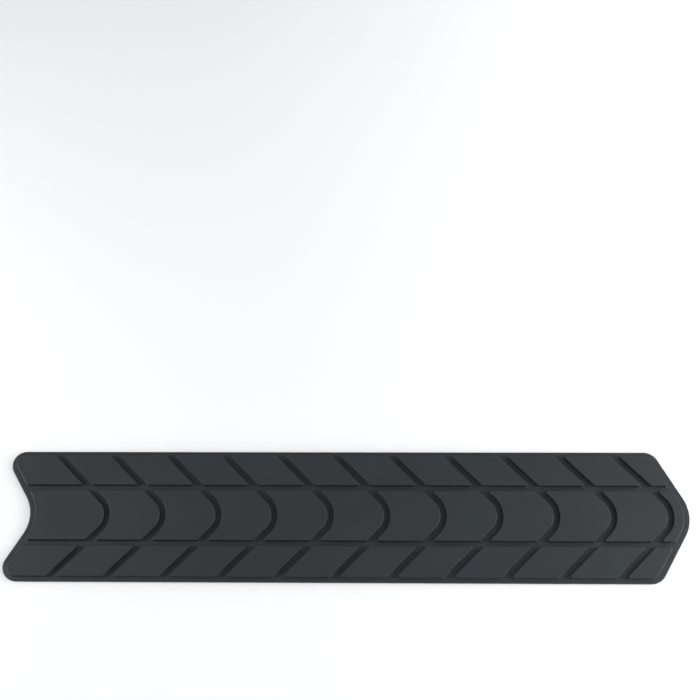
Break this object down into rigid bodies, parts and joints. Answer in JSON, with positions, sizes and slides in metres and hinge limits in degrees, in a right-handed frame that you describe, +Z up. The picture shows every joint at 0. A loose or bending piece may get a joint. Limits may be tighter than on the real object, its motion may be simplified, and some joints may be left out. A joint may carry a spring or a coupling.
{
  "type": "chainstay protector",
  "caption": "Stick-on rubber chainstay protector for a bicycle: a thin flexible sheet with raised chevron tread pads, a notched end and an arrow end.",
  "frame": {"origin": "middle of the flat bonding face underneath, on the surface that the sheet lies on", "axes": "+X along the sheet to its arrow end, +Y across the sheet, +Z up out of the tread"},
  "size_m": [0.258, 0.05, 0.0028],
  "materials": {
    "rubber": "satin moulded black rubber"
  },
  "bodies": {
    "root": {"protector": "rubber"}
  },
  "joints": []
}
